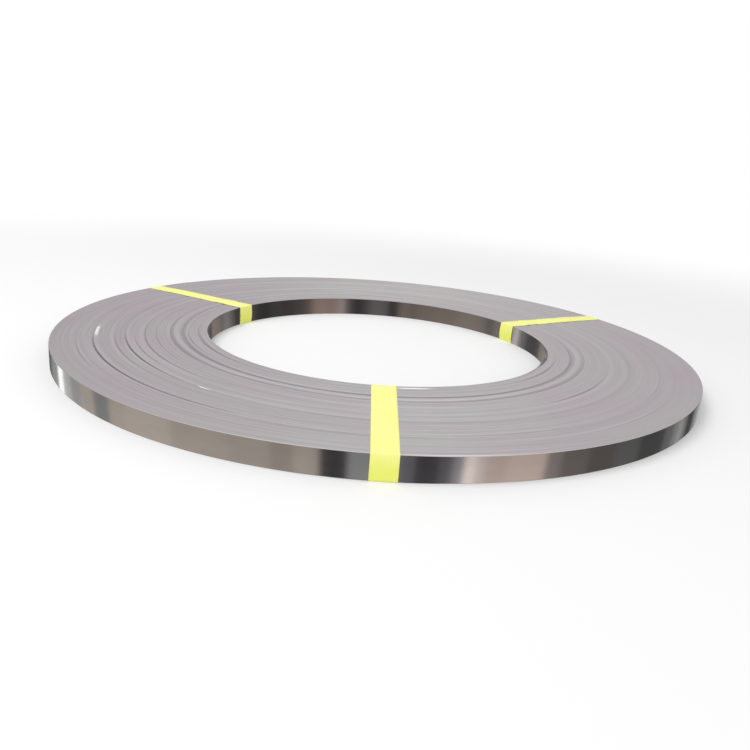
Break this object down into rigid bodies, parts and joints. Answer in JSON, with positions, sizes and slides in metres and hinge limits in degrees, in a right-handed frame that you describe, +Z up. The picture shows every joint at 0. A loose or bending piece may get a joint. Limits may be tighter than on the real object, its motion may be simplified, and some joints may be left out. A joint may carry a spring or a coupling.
{
  "type": "steel strip coil",
  "caption": "Flat-lying ring of thin cold-rolled steel strip wound edge over edge, with an open bore, held by bands of yellow tape wrapped round its section.",
  "frame": {"origin": "on the coil's axis, at the level of the surface it lies on, which is the lower end of its bore", "axes": "+Z up along the coil's axis, -Y towards the front tape band"},
  "size_m": [0.7276, 0.7278, 0.0234],
  "materials": {
    "strip_steel": "bright cold-rolled",
    "yellow_tape": "satin film"
  },
  "bodies": {
    "root": {"wound_strip": "strip_steel", "binding_tape_front": "yellow_tape", "binding_tape_left": "yellow_tape", "binding_tape_right": "yellow_tape"}
  },
  "joints": []
}
